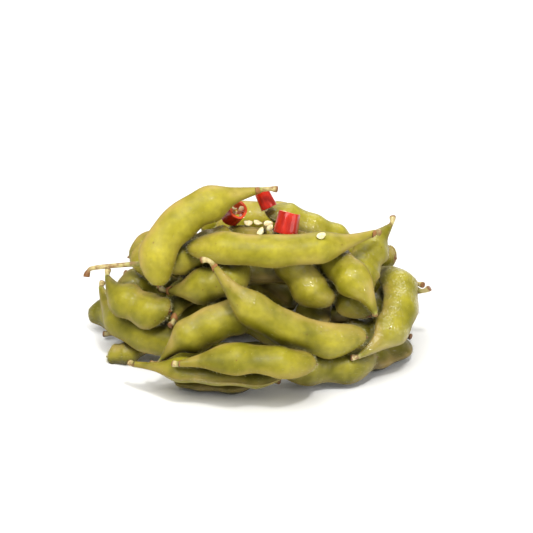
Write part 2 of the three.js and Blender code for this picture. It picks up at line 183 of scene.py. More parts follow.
def addCamera(setup):
    elevation = math.radians(setup["elevation"])
    up = Vector((0, math.sin(elevation), math.cos(elevation)))
    towardsEye = Vector((0, -up.z, up.y))
    perPixel = mm / setup["pixelsPerMm"]
    across = (setup["frame"] / 2 - setup["groundPixel"][0]) * perPixel
    above = (setup["groundPixel"][1] - setup["frame"] / 2) * perPixel
    target = Vector(setup["groundPoint"]) + Vector((across, 0, 0)) + up * above
    distance = setup["frame"] * perPixel * setup["lens"] / setup["sensor"]
    camera = added(bpy.ops.object.camera_add, location=target + towardsEye * distance)
    camera.name = "pictureCamera"
    camera.rotation_euler = (math.radians(90 - setup["elevation"]), 0, 0)
    camera.data.lens = setup["lens"]
    camera.data.sensor_width = setup["sensor"]
    camera.data.clip_start, camera.data.clip_end = setup["clip"]
    bpy.context.scene.camera = camera


addCamera(cameraSetup)
print("camera placed")


# Boiled pod skin: thin and waxy, steamed soft. Olive to yellow-green and satin, tan along the seams, with
# tiny brown specks, and wet with broth in places, which breaks the highlights up
podSkin = {
    "deepGreen": "#484806", "midGreen": "#847D12", "yellowGreen": "#B4A632", "bean": "#B8AC30",
    "blush": "#C0A062", "seam": "#7C6A2A", "speck": "#6E3A1C",
    "knot": "#4C2812", "stalkGreen": "#93963E", "stalkPale": "#C6B67C", "cut": "#80562E",
    # a pod is yellower where it is older and drier, and darker green lower in the heap and where hidden,
    # partly as painted shade; and its stalk, from the cut end at 0 to the knot at 1
    "greens": {0: "deepGreen", 0.5: "midGreen", 1: "yellowGreen"},
    "stalks": {0: "cut", 0.07: "cut", 0.22: "stalkPale", 0.6: "stalkPale", 1: "stalkGreen"},
    # each noise: how many mm across, and how much detail. The grain is coarser than the skin's own, to show
    "noises": {"patch": (9, 2), "mottle": (2.2, 3), "grain": (0.5, 3), "wrinkle": (1.6, 2), "drop": (1, 0)},
    "noiseRoughness": 0.55,
    "speckMm": 2.4, "speckedShare": 0.12,         # the size of a cell, and how many of them hold a speck
    "paintedGapShadeMm": 9, "paintedGapShadeSamples": 6,                  # painted shade: how far the skin looks out for neighbours that darken it
    "beanShare": 0.5,                             # how much of the bean's colour shows over a bean
    # what a pattern is read from, its range there, and what it becomes at either end of that
    "ranges": {
        "tone": ("patch", 0.2, 0.8, -0.3, 0.3),
        "mottle": ("mottle", 0.3, 0.7, 0.86, 1.1),
        "blush": ("patch", 0.4, 0.62, 0.1, 0.7),
        "seam": ("mottle", 0.3, 0.7, 0.3, 0.85),
        "speck": ("cell", 0.05, 0.14, 0.75, 0.0),
        "stain": ("mottle", 0.46, 0.62, 0.0, 0.8),
        "knot": ("wrinkle", 0.42, 0.6, 0.0, 0.95),
        # painted shade, from how open the skin is to its neighbours
        "gap": ("open", 0.2, 0.78, 0.06, 1.0),
        "wet": ("patch", 0.4, 0.5, 0.1, 1.0),
        "film": ("drop", 0.3, 0.7, 0.0, 1.0),
        "rough": ("mottle", 0.3, 0.7, 0.38, 0.56),
    },
    # each bump: its strength and its depth. The last is the film of broth, which only the coat has
    "bumps": {"wrinkle": (0.4, 0.14 * mm), "grain": (0.35, 0.05 * mm), "film": (1.0, 0.2 * mm)},
}
podMarks = ("bean", "seam", "edge", "tone", "stalk", "ring", "tip", "body", "wet")  # a pod's own attributes


def podSkinMaterial(look):
    material, tree, shader = newMaterial("boiled pod skin")
    place = addNode(tree, "ShaderNodeTexCoord").outputs["Object"]
    mark = {}
    for name in podMarks:
        mark[name] = addNode(tree, "ShaderNodeAttribute", {"attribute_name": name}).outputs["Fac"]
    pattern = {}
    for name, (size, detail) in look["noises"].items():
        pattern[name] = addNode(tree, "ShaderNodeTexNoise", {}, {
            "Vector": place, "Scale": 1 / (size * mm), "Detail": detail, "Roughness": look["noiseRoughness"],
        }).outputs["Fac"]
    cells = addNode(tree, "ShaderNodeTexVoronoi", {}, {
        "Vector": place, "Scale": 1 / (look["speckMm"] * mm), "Randomness": 1.0})
    pattern["cell"] = cells.outputs["Distance"]
    # ambient occlusion, which drives the painted shade between the pods
    pattern["open"] = addNode(tree, "ShaderNodeAmbientOcclusion", {"samples": look["paintedGapShadeSamples"]}, {
        "Distance": look["paintedGapShadeMm"] * mm}).outputs["AO"]
    ranged = {}
    for key, (name, low, high, lowest, highest) in look["ranges"].items():
        ranged[key] = addNode(tree, "ShaderNodeMapRange", {}, {
            "Value": pattern[name], "From Min": low, "From Max": high, "To Min": lowest, "To Max": highest,
        }).outputs["Result"]

    # a cell holds a speck where its own random number is low
    chosen = addNode(tree, "ShaderNodeSeparateColor", {}, {"Color": cells.outputs["Color"]})
    specked = addNode(tree, "ShaderNodeMath", {"operation": "LESS_THAN"}, {
        0: chosen.outputs["Red"], 1: look["speckedShare"]})
    mask = {}
    for key, operation, first, second in (
            ("tone", "ADD", mark["tone"], ranged["tone"]),
            ("bean", "MULTIPLY", mark["bean"], look["beanShare"]),
            ("blush", "MULTIPLY", mark["edge"], ranged["blush"]),
            ("seam", "MULTIPLY", mark["seam"], ranged["seam"]),
            ("speck", "MULTIPLY", specked.outputs[0], ranged["speck"]),
            ("knot", "MULTIPLY", mark["ring"], ranged["knot"]),
            ("wet", "MULTIPLY", mark["wet"], ranged["wet"])):
        mask[key] = addNode(tree, "ShaderNodeMath", {"operation": operation, "use_clamp": True}, {
            0: first, 1: second}).outputs[0]

    ramp = {}
    for key, factor in (("greens", mask["tone"]), ("stalks", mark["stalk"])):
        ramp[key] = addNode(tree, "ShaderNodeValToRGB", {}, {"Fac": factor})
        stops = ramp[key].color_ramp.elements
        for at, colour in look[key].items():
            stop = stops[-at] if at in (0, 1) else stops.new(at)       # a new ramp has its two ends already
            stop.color = srgb(look[colour])
    # the stalk is stained brown in places
    stalk = addNode(tree, "ShaderNodeMix", {"data_type": "RGBA"}, {
        mixFactor: ranged["stain"], mixA: ramp["stalks"].outputs["Color"], mixB: srgb(look["cut"])})
    skin = ramp["greens"].outputs["Color"]
    for blend, factor, laid in (
            ("MIX", mask["bean"], srgb(look["bean"])),
            ("MULTIPLY", 1.0, ranged["mottle"]),
            ("MIX", mask["blush"], srgb(look["blush"])),               # beside the seams, in patches
            ("MIX", mask["seam"], srgb(look["seam"])),
            ("MIX", mask["speck"], srgb(look["speck"])),
            ("MIX", mark["tip"], srgb(look["cut"]))):
        skin = addNode(tree, "ShaderNodeMix", {"data_type": "RGBA", "blend_type": blend}, {
            mixFactor: factor, mixA: skin, mixB: laid}).outputs[mixResult]
    # painted shade: the colour is darkened where neighbours close the skin in, between the pods, where little
    # light gets down
    whole = stalk.outputs[mixResult]
    for blend, factor, laid in (
            ("MIX", mark["body"], skin),
            ("MIX", mask["knot"], srgb(look["knot"])),
            ("MULTIPLY", 1.0, ranged["gap"])):
        whole = addNode(tree, "ShaderNodeMix", {"data_type": "RGBA", "blend_type": blend}, {
            mixFactor: factor, mixA: whole, mixB: laid}).outputs[mixResult]

    normal = {}
    below = {}                                     # each bump stands on the one before it
    for key, height in (
            ("wrinkle", pattern["wrinkle"]), ("grain", pattern["grain"]), ("film", ranged["film"])):
        strength, deep = look["bumps"][key]
        normal[key] = addNode(tree, "ShaderNodeBump", {}, {
            "Strength": strength, "Distance": deep, "Height": height, **below}).outputs["Normal"]
        below = {"Normal": normal[key]}
    setInputs(tree, shader, {
        "Base Color": whole, "Roughness": ranged["rough"], "Normal": normal["grain"],
        "Specular IOR Level": 0.25,
        "Subsurface Weight": 0.1, "Subsurface Scale": 1 * mm, "Subsurface Radius": (1.0, 0.9, 0.25),
        "Coat Weight": mask["wet"], "Coat Roughness": 0.12, "Coat Normal": normal["film"],
    })
    return material


# How a pod is drawn over the frame's pod
podShape = {
    "columns": 40, "rowsPerRing": 5, "seamCrowding": 0.74,
    # rows by ring number: the fine ones round the knot take the place of the even ones there
    "knotRows": (3.6, 3.8, 3.9, 3.96, 4, 4.04, 4.08, 4.14, 4.22), "knotStretch": (3.55, 4.3),
    # the cut end: the share of the first ring's size, and how many mm it stands out from there
    "cutRows": ((0.5, 0.03), (0.86, 0.03), (1.0, -0.12)),
    # the tip and its beak: the share of the way, and the share of the size
    "tipRows": ((0.3, 0.954), (0.55, 0.835), (0.75, 0.66), (0.88, 0.475), (0.95, 0.31)),
    "beakRows": ((0.2, 1), (0.75, 0.8)), "beakLong": 0.8 * mm, "beakRadius": 0.34 * mm,
    # where along the pod the beans lie, for one, two or three of them
    "beanPlaces": {1: (0.52,), 2: (0.4, 0.72), 3: (0.32, 0.56, 0.79)}, "leastBulge": 1e-4,
    "beanRise": 0.5 * mm, "beanSink": 0.3, "beanLong": 5.2 * mm, "beanHigh": 4.2 * mm,
    "ridgeRise": 0.26 * mm, "ridgeApart": 0.5 * mm, "ridgeWide": 0.3 * mm,
    "grooveDeep": 0.16 * mm, "grooveShare": 0.6,
    "lumpRise": 0.16 * mm, "lumpLong": 7 * mm, "lumpShift": (3.7, 1.3),
    "lensPower": 1.45, "waistDip": 0.09, "fullWidth": 3 * mm,
    "skinFrom": 0.2 * mm, "skinBlend": 0.7 * mm,  # how far past the knot the stalk turns to skin
    "stalkSwell": 0.3, "swellAt": 0.9 * mm, "swellLong": 1 * mm,
    "seamWide": 0.8 * mm, "blushWide": 2.1 * mm, "lowerBlush": 0.4, "knotWide": 0.32 * mm,
    "tipFrom": 0.6, "tipBlend": 0.3,
}
frameSides = 8                                     # of a ring of the frame's pod
knotRing, firstBodyRing, lastRing = 4, 5, 16       # counted from the cut end, which is 1


def podRings(node):
    # The frame's pod is drawn out from the cut stalk to the tip: the rings come out in that order
    mesh = mergedCopy(node)
    poles = [v for v in mesh.verts if len(v.link_edges) == frameSides]
    poles.sort(key=lambda v: sum(e.calc_length() for e in v.link_edges))
    cut, tip = poles[0].co.copy(), poles[-1].co.copy()
    seen = {poles[0]}
    level = [poles[0]]
    rings = []
    while True:
        level = list(dict.fromkeys(e.other_vert(v) for v in level for e in v.link_edges
                                   if e.other_vert(v) not in seen))
        if len(level) != frameSides:
            break
        seen.update(level)
        ring = [level[0]]
        while len(ring) < frameSides:
            ring.append(next(e.other_vert(ring[-1]) for e in ring[-1].link_edges
                             if e.other_vert(ring[-1]) in level and e.other_vert(ring[-1]) not in ring))
        rings.append([v.co.copy() for v in ring])
    mesh.free()
    return cut, rings, tip


def middleOf(ring):
    return sum(ring, Vector()) / frameSides


def turnRing(ring, start, way):
    return [ring[(start + way * i) % frameSides] for i in range(frameSides)]


def alignRings(rings):
    # each ring starts at the same seam and runs the same way as the one beside it
    opposite = frameSides // 2
    middle = (len(rings) - 1) // 2
    widest = max(range(opposite), key=lambda i: (rings[middle][i] - rings[middle][i + opposite]).length)
    if (rings[middle][widest] - rings[middle][widest + opposite]).z < 0:
        widest += opposite
    rings[middle] = turnRing(rings[middle], widest, 1)
    for order in (range(middle + 1, len(rings)), range(middle - 1, -1, -1)):
        last = rings[middle]
        for k in order:
            centre = middleOf(rings[k])
            lastCentre = middleOf(last)
            choices = [turnRing(rings[k], start, way) for start in range(frameSides) for way in (1, -1)]
            last = min(choices, key=lambda ring: sum(
                ((ring[i] - centre) - (last[i] - lastCentre)).length_squared for i in range(frameSides)))
            rings[k] = last
    return rings


def throughPoints(points, place):
    # a smooth curve through the points, which place counts from 0
    i = clamped(int(place), 0, len(points) - 2)
    share = place - i
    before, start, end, after = (points[clamped(i + k, 0, len(points) - 1)] for k in (-1, 0, 1, 2))
    return 0.5 * (2 * start + (end - before) * share + (2 * before - 5 * start + 4 * end - after) * share ** 2
                  + (3 * start - before - 3 * end + after) * share ** 3)


def podRows(node, shape):
    # rows of the fine pod: centre, half width to the seam, half thickness to the flank, and how far along
    cut, rings, tip = podRings(node)
    rings = alignRings(rings)
    centres = [middleOf(ring) for ring in rings]
    widths = [(ring[0] - ring[frameSides // 2]) / 2 for ring in rings]
    flanks = [(ring[frameSides // 4] - ring[-frameSides // 4]) / 2 for ring in rings]
    rows = []
    outward = (cut - centres[1]).normalized()
    for share, out in shape["cutRows"]:
        rows.append({"centre": centres[0] + outward * out * mm, "width": widths[0] * share,
                     "flank": flanks[0] * share, "place": share})
    knotStart, knotEnd = shape["knotStretch"]
    steps = (lastRing - 1) * shape["rowsPerRing"]
    places = [k / shape["rowsPerRing"] for k in range(1, steps + 1)]
    places = [place for place in places if not knotStart < 1 + place < knotEnd]
    for place in sorted(places + [place - 1 for place in shape["knotRows"]]):
        rows.append({"centre": throughPoints(centres, place), "width": throughPoints(widths, place),
                     "flank": throughPoints(flanks, place), "place": 1 + place})
    for share, size in shape["tipRows"]:
        rows.append({"centre": centres[-1].lerp(tip, share), "width": widths[-1] * size,
                     "flank": flanks[-1] * size, "place": lastRing + share})
    ahead = (tip - centres[-2]).normalized()
    for share, size in shape["beakRows"]:
        rows.append({"centre": tip + ahead * shape["beakLong"] * share,
                     "width": widths[-1].normalized() * shape["beakRadius"] * size,
                     "flank": flanks[-1].normalized() * shape["beakRadius"] * size, "place": lastRing + 1})
    rows[0]["along"] = 0
    for before, row in zip(rows, rows[1:]):
        row["along"] = before["along"] + (row["centre"] - before["centre"]).length
    knotAt = next(row["along"] for row in rows if row["place"] >= knotRing)
    for row in rows:
        row["stalk"] = min(row["along"] / knotAt, 1)
        if row["along"] < knotAt:
            # swollen where it was broken off
            swollen = 1 + shape["stalkSwell"] * fade(row["along"] - shape["swellAt"], shape["swellLong"])
            row["width"] = row["width"] * swollen
            row["flank"] = row["flank"] * swollen
        row["along"] -= knotAt
    # a bean shows where the pod is thick for its width
    ratios = [flanks[k].length / widths[k].length for k in range(firstBodyRing - 1, lastRing)]
    peaks = sum(ratios[i] > ratios[i - 1] + shape["leastBulge"] and ratios[i] >= ratios[i + 1]
                for i in range(1, len(ratios) - 2))
    beans = [share * rows[-1]["along"] for share in shape["beanPlaces"][clamped(peaks, 1, 3)]]
    return cut, rows, tip + ahead * shape["beakLong"], beans


def podPoint(row, angle, beans, lumpPlace, shape):
    # a point of the skin, at an angle round its row, and its marks
    onBody = clamped((row["along"] - shape["skinFrom"]) / shape["skinBlend"])
    width, thick = row["width"].length, row["flank"].length
    cosine, sine = math.cos(angle), math.sin(angle)
    power = 1 + (shape["lensPower"] - 1) * onBody
    x = width * cosine
    y = thick * math.copysign(abs(sine) ** power, sine)
    swell = max(fade(row["along"] - bean, shape["beanLong"]) for bean in beans)
    bump = swell * fade(x, shape["beanHigh"])
    full = min(width / shape["fullWidth"], 1) * onBody
    if cosine < 0:
        x *= 1 - shape["waistDip"] * (1 - swell) * full      # the lower seam follows the beans more closely
    y += math.copysign(shape["beanRise"] * (bump - shape["beanSink"]) * full * abs(sine), sine)
    distance = abs(y)
    if cosine > 0:
        # the upper seam has a ridge on either side of a groove
        edge = shape["ridgeRise"] * fade(distance - shape["ridgeApart"], shape["ridgeWide"])
        edge -= shape["grooveDeep"] * fade(distance, shape["ridgeWide"] * shape["grooveShare"])
    else:
        edge = shape["ridgeRise"] * fade(distance, shape["ridgeWide"])
    x += math.copysign(edge * full, cosine)
    point = row["centre"] + row["width"] / width * x + row["flank"] / thick * y
    out = (point - row["centre"]).normalized()
    point += out * shape["lumpRise"] * full * noise.noise(point / shape["lumpLong"] + lumpPlace)
    point.z = max(point.z, 0)
    return point, {
        "bean": bump * onBody,
        "seam": fade(distance, shape["seamWide"]) * onBody,
        "edge": fade(distance, shape["blushWide"]) * full * (1 if cosine > 0 else shape["lowerBlush"]),
        "ring": fade(row["along"], shape["knotWide"]),
        "stalk": row["stalk"],
        "body": onBody,
        "tip": clamped((row["place"] - lastRing - shape["tipFrom"]) / shape["tipBlend"]),
    }


def podPiece(node, name, number, tone, wet, material, shape):
    cut, rows, tip, beans = podRows(node, shape)
    columns = shape["columns"]
    angles = [2 * math.pi * i / columns - 0.5 * shape["seamCrowding"] * math.sin(4 * math.pi * i / columns)
              for i in range(columns)]
    piece = added(bpy.ops.mesh.primitive_uv_sphere_add, segments=columns, ring_count=len(rows) + 1, radius=1)
    vertices = piece.data.vertices
    marks = {key: [0.0] * len(vertices) for key in podMarks}
    marks["tone"] = [tone] * len(vertices)
    marks["wet"] = [wet] * len(vertices)
    lumpPlace = Vector((number * shape["lumpShift"][0], number * shape["lumpShift"][1], 0))
    for vertex in vertices:
        row = round(math.acos(clamped(vertex.co.z, -1, 1)) / math.pi * (len(rows) + 1)) - 1
        if 0 <= row < len(rows):
            column = round(math.atan2(vertex.co.y, vertex.co.x) / (2 * math.pi) * columns) % columns
            vertex.co, found = podPoint(rows[row], angles[column], beans, lumpPlace, shape)
        else:
            # the two poles of the sphere
            vertex.co = cut if row < 0 else tip
            found = {"tip": float(row >= 0), "body": float(row >= 0)}
        for key, value in found.items():
            marks[key][vertex.index] = value
    for key, values in marks.items():
        piece.data.attributes.new(key, "FLOAT", "POINT").data.foreach_set("value", values)
    editAll(piece, bpy.ops.mesh.normals_make_consistent, inside=False)
    bpy.ops.object.shade_smooth()
    piece.data.materials.append(material)
    return finishPiece(piece, name, "pod_skin", node.name), rows


# How yellow and how wet each pod is, 0 to 1: yellower towards the top, darker green low down and where
# hidden, partly painted shade, wettest at the right
podTones = {
    "seed": 4, "lowest": 0.15, "rise": 0.85, "spread": 0.12,
    # pods with these words in their names are set darker green, partly their own colour and partly painted
    # shade
    "deep": ("inner", "core", "base", "deep", "under", "dark"), "hiddenPaintedShade": 0.3,
    "wet": (0.05, 0.35), "wetRight": 0.5, "wettest": ("big", "lower"), "mostWet": 0.9,
}


def drawPods(look):
    material = podSkinMaterial(podSkin)
    drawn = {}
    lines = {}
    random.seed(look["seed"])
    for number, node in enumerate(nodesNamed("pod_")):
        low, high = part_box(node.name)
        height = (low.z + high.z) / 2 / cadBox[1].z      # 0 at the bottom of the heap, 1 on top
        # a hidden pod is darker green, partly its own colour and partly painted shade
        paintedShade = look["hiddenPaintedShade"] if any(word in node.name for word in look["deep"]) else 0
        spread = random.uniform(-look["spread"], look["spread"])
        tone = clamped(look["lowest"] + look["rise"] * height - paintedShade + spread)
        wet = random.uniform(*look["wet"])
        if "right" in node.name:
            wet = look["mostWet"] if any(word in node.name for word in look["wettest"]) else look["wetRight"]
        name = node.name.replace("pod_", "edamame_")
        drawn[name], lines[name] = podPiece(node, name, number, tone, wet, material, podShape)
    return drawn, lines


pods, podLines = drawPods(podTones)
print(len(pods), "pods drawn")


# Red chilli, sliced raw: a glossy wax skin, streaked dark, over crisp flesh with cream pith and flat seeds
chilliLook = {
    # the inner wall is lighter than the flesh, partly its own colour and partly painted light against the
    # shade inside the ring
    "skin": "#C9260C", "skinDeep": "#9C1405", "flesh": "#E8501E", "inside": "#F2601E", "pith": "#F6EBC8",
    "seed": "#F5E7B4", "seedEdge": "#DDBE70",
    "streaks": (14, 1.5, 1), "streakRange": (0.3, 0.65), "dentDeep": 0.3 * mm,
    # each inner part: its name, its roughness and the colour that mottles it
    "parts": {
        # the inner wall's lighter colour is partly painted light
        "flesh": ("cut chilli flesh", 0.3, "skin"), "inside": ("chilli inner wall", 0.25, "skin"),
        "pith": ("chilli pith", 0.5, "seedEdge"), "seed": ("wet chilli seed", 0.35, "seedEdge"),
    },
    "grainMm": 0.7, "grainRange": (0.45, 0.8), "grainShare": 0.7, "grainDeep": 0.08 * mm,
}


def chilliSkinMaterial(look):
    material, tree, shader = newMaterial("raw chilli skin")
    around = addNode(tree, "ShaderNodeTexCoord").outputs["UV"]
    drawnOut = addNode(tree, "ShaderNodeMapping", {}, {"Vector": around, "Scale": look["streaks"]})
    streak = addNode(tree, "ShaderNodeTexNoise", {}, {
        "Vector": drawnOut.outputs["Vector"], "Scale": 1.0, "Detail": 3}).outputs["Fac"]
    share = addNode(tree, "ShaderNodeMapRange", {}, {
        "Value": streak, "From Min": look["streakRange"][0], "From Max": look["streakRange"][1]})
    mixed = addNode(tree, "ShaderNodeMix", {"data_type": "RGBA"}, {
        mixFactor: share.outputs["Result"], mixA: srgb(look["skinDeep"]), mixB: srgb(look["skin"])})
    dents = addNode(tree, "ShaderNodeBump", {}, {
        "Strength": 0.8, "Distance": look["dentDeep"], "Height": streak})
    setInputs(tree, shader, {
        "Base Color": mixed.outputs[mixResult], "Roughness": 0.35, "Normal": dents.outputs["Normal"],
        "Specular IOR Level": 0.22, "Coat Weight": 0.6, "Coat Roughness": 0.04,
        "Subsurface Weight": 0.08, "Subsurface Scale": 1 * mm, "Subsurface Radius": (1.0, 0.3, 0.2),
    })
    return material


def chilliPartMaterial(look, key):
    title, roughness, other = look["parts"][key]
    material, tree, shader = newMaterial(title)
    place = addNode(tree, "ShaderNodeTexCoord").outputs["Object"]
    grain = addNode(tree, "ShaderNodeTexNoise", {}, {
        "Vector": place, "Scale": 1 / (look["grainMm"] * mm), "Detail": 3}).outputs["Fac"]
    share = addNode(tree, "ShaderNodeMapRange", {}, {
        "Value": grain, "From Min": look["grainRange"][0], "From Max": look["grainRange"][1],
        "To Min": 0.0, "To Max": look["grainShare"]})
    mixed = addNode(tree, "ShaderNodeMix", {"data_type": "RGBA"}, {
        mixFactor: share.outputs["Result"], mixA: srgb(look[key]), mixB: srgb(look[other])})
    dents = addNode(tree, "ShaderNodeBump", {}, {
        "Strength": 0.4, "Distance": look["grainDeep"], "Height": grain})
    setInputs(tree, shader, {
        "Base Color": mixed.outputs[mixResult], "Roughness": roughness, "Normal": dents.outputs["Normal"],
        "Coat Weight": 0.3, "Coat Roughness": 0.15,
        "Subsurface Weight": 0.2, "Subsurface Scale": 1 * mm, "Subsurface Radius": (1.0, 0.5, 0.3),
    })
    return material


chilli = {"skin": chilliSkinMaterial(chilliLook)}
for key in chilliLook["parts"]:
    chilli[key] = chilliPartMaterial(chilliLook, key)


def frameOf(node, spokes):
    # the frame's slice or seed is turned round an axis between two points where this many edges meet
    mesh = mergedCopy(node)
    ends = [v.co.copy() for v in mesh.verts if len(v.link_edges) == spokes]
    places = [v.co.copy() for v in mesh.verts]
    mesh.free()
    ends.sort(key=lambda p: p.z)
    axis = (ends[-1] - ends[0]).normalized()
    centre = (ends[-1] + ends[0]) / 2
    off = [(p - centre) - (p - centre).dot(axis) * axis for p in places]
    reach = max(abs((p - centre).dot(axis)) for p in places)
    longest = max(off, key=lambda v: v.length)
    return centre, axis, reach, longest


# A seed: a flat disc with a beak and a thick rim, curled like a saddle, no two quite alike
seedShape = {
    "spokes": 8, "segments": 16, "rings": 10, "beak": 0.2,
    "long": 1.5 * mm, "wide": 1.2 * mm, "thick": 0.5 * mm,
    "middleThick": 0.9, "rimThick": 0.5, "curlAlong": 0.9, "curlAcross": 0.7,
    "wobble": 0.35 * mm, "wobbleLong": 1.1 * mm, "wobbleShift": 2.3,
}


def seedMesh(shape):
    seed = added(bpy.ops.mesh.primitive_uv_sphere_add, segments=shape["segments"], ring_count=shape["rings"],
                 radius=1)
    for vertex in seed.data.vertices:
        x, y, z = vertex.co
        beak = 1 + shape["beak"] * max(0, x) ** 2
        height = (z * (shape["middleThick"] + shape["rimThick"] * math.hypot(x, y) ** 3)
                  + shape["curlAlong"] * x ** 2 - shape["curlAcross"] * y ** 2)
        vertex.co = (x * beak * shape["long"], y * shape["wide"], height * shape["thick"])
    bpy.ops.object.shade_smooth()
    seed.data.materials.append(chilli["seed"])
    return seed


seedModel = seedMesh(seedShape)


def seedCopy(matrix, number, shape):
    seed = copyOf(seedModel)
    shift = Vector((number * shape["wobbleShift"], 0, 0))
    for vertex in seed.data.vertices:
        vertex.co += Vector((0, 0, shape["wobble"])) * noise.noise(vertex.co / shape["wobbleLong"] + shift)
    seed.data.transform(matrix)
    return seed


# A slice: a ring off the fruit, not quite round and not cut quite square, with a strand of pith off to one
# side, webs out to the wall and seeds hanging on it. Shares are of the slice's radius or of half its length
sliceShape = {
    "spokes": 14, "sides": 30, "cutsAlong": 3,
    "across": 0.95, "uneven": 0.04, "unevenScale": 1.3, "flattened": 0.95, "taper": 0.09,
    "ridges": 5, "ridgeRise": 0.022, "ridgeTwist": 40,
    "long": 0.96, "slant": 0.05, "slantScale": 0.9, "slantShift": (3, 1, 0),
    "noiseAlong": 60, "noiseShift": 5,
    "wall": 0.2, "rimWidth": 0.14 * mm, "rimSegments": 2, "inside": 0.95,
    "core": {"radius": 0.55 * mm, "oval": 1.3, "long": 0.97, "off": 0.42, "bend": (0.9 * mm, 0.6 * mm),
             "wave": 2 * mm, "shift": 3, "segments": 14, "rings": 16},
    "web": {"count": 2, "turn": 2.6, "start": -0.4, "wide": 0.52, "thick": 0.14 * mm, "long": 0.6, "off": 0.5,
            "rise": 0.35 * mm, "wave": 1.6 * mm, "segments": 16, "rings": 12},
    "seed": {"count": 4, "turn": 1.9, "start": 2.2, "off": 0.55, "along": 0.84, "step": 0.08, "lean": 1.1,
             "leanStep": 0.3, "size": 0.85},
}


def sliceRing(radius, half, number, shape):
    ring = added(bpy.ops.mesh.primitive_cylinder_add, vertices=shape["sides"], radius=radius, depth=2 * half,
                 end_fill_type="NOTHING")
    editAll(ring, bpy.ops.mesh.subdivide, number_cuts=shape["cutsAlong"])
    for vertex in ring.data.vertices:
        around = math.atan2(vertex.co.y, vertex.co.x)
        along = vertex.co.z
        place = Vector((math.cos(around), math.sin(around),
                        along * shape["noiseAlong"] + number * shape["noiseShift"]))
        size = radius * (shape["across"] + shape["uneven"] * noise.noise(place * shape["unevenScale"]))
        size += radius * shape["ridgeRise"] * math.cos(
            shape["ridges"] * around + number + shape["ridgeTwist"] * along)
        size *= 1 - shape["taper"] * along / half
        slant = noise.noise(place * shape["slantScale"] + Vector(shape["slantShift"]))
        vertex.co = (size * math.cos(around), size * math.sin(around) * shape["flattened"],
                     along * (shape["long"] + shape["slant"] * slant))
    for key in ("skin", "flesh", "inside"):
        ring.data.materials.append(chilli[key])
    wall = ring.modifiers.new("wall", "SOLIDIFY")
    wall.thickness = radius * shape["wall"]
    wall.offset = -1
    wall.material_offset_rim = 1
    wall.material_offset = 2
    rim = ring.modifiers.new("rim", "BEVEL")
    rim.width = shape["rimWidth"]
    rim.segments = shape["rimSegments"]
    rim.limit_method = "ANGLE"
    applyAll(ring)
    bpy.ops.object.shade_smooth()
    return ring


def pithBead(size, part):
    bead = added(bpy.ops.mesh.primitive_uv_sphere_add, segments=part["segments"], ring_count=part["rings"],
                 radius=1)
    bead.data.transform(Matrix.Diagonal((*size, 1)))
    bpy.ops.object.shade_smooth()
    bead.data.materials.append(chilli["pith"])
    return bead


def sliceCore(inner, half, number, core):
    strand = pithBead((core["radius"] * core["oval"], core["radius"], half * core["long"]), core)
    for vertex in strand.data.vertices:
        bend = noise.noise(vertex.co / core["wave"] + Vector((number * core["shift"], 0, 0)))
        vertex.co.x += core["off"] * inner + core["bend"][0] * bend
        vertex.co.y += core["bend"][1] * bend
    return strand


def sliceWeb(k, inner, half, number, web):
    sheet = pithBead((inner * web["wide"], web["thick"], half * web["long"]), web)
    turn = Matrix.Rotation(web["turn"] * k + web["start"], 3, "Z")
    for vertex in sheet.data.vertices:
        point = vertex.co + Vector((inner * web["off"], 0, 0))
        point.y += web["rise"] * noise.noise(point / web["wave"] + Vector((k, number, 0)))
        vertex.co = turn @ point
    return sheet


def sliceSeed(k, inner, half, number, seed):
    end = 1 if k % 2 else -1
    angle = seed["turn"] * k + seed["start"] + number
    out = inner * seed["off"]
    along = end * half * (seed["along"] - seed["step"] * k)
    at = Vector((out * math.cos(angle), out * math.sin(angle), along))
    lean = Matrix.Rotation(angle, 4, "Z") @ Matrix.Rotation(seed["lean"] + seed["leanStep"] * (k % 3), 4, "X")
    return seedCopy(Matrix.Translation(at) @ lean @ Matrix.Scale(seed["size"], 4), k + number, seedShape)


def slicePiece(node, shape, number):
    centre, axis, half, side = frameOf(node, shape["spokes"])
    radius = side.length
    inner = radius * (1 - shape["wall"]) * shape["inside"]
    parts = [sliceRing(radius, half, number, shape), sliceCore(inner, half, number, shape["core"])]
    parts += [sliceWeb(k, inner, half, number, shape["web"]) for k in range(shape["web"]["count"])]
    parts += [sliceSeed(k, inner, half, number, shape["seed"]) for k in range(shape["seed"]["count"])]
    piece = joinAll(parts)
    piece.data.transform(turnTo(axis, side, centre))
    finishPiece(piece, node.name.replace("chilli_slice_", "chilli_"), "chilli_skin", node.name)


sliceNodes = nodesNamed("chilli_slice")
for number, node in enumerate(sliceNodes):
    slicePiece(node, sliceShape, number)
seedNodes = nodesNamed("chilli_seed")
for number, node in enumerate(seedNodes):
    centre, axis, _, side = frameOf(node, seedShape["spokes"])
    loose = seedCopy(turnTo(axis, side, centre), number, seedShape)
    finishPiece(loose, node.name.replace("chilli_seed", "seed"), "chilli_seed", node.name)
bpy.data.objects.remove(seedModel)
print(len(sliceNodes), "slices and", len(seedNodes), "seeds drawn")


# The dried calyx that clings to the neck of a pod: papery, brown and matt, in five short lobes
calyxLook = {
    "colour": "#7B4A22", "light": "#A9783F", "fibreMm": 0.6,
    "lobes": 5, "radius": 1.15 * mm, "long": 1.1 * mm, "lobeLong": 1.3 * mm, "thick": 0.16 * mm,
    "neck": 0.86, "flare": 1.12, "lobeFlare": 0.25,
    "seed": 11, "sizes": (0.75, 1.1), "rubbedOff": 0.35,
    "crumple": 0.25, "crumpleLong": 0.9 * mm, "crumpleShift": 3,
    "rowsBehind": 2, "rowsAhead": 3,              # of the knot, for the way that the neck runs
}


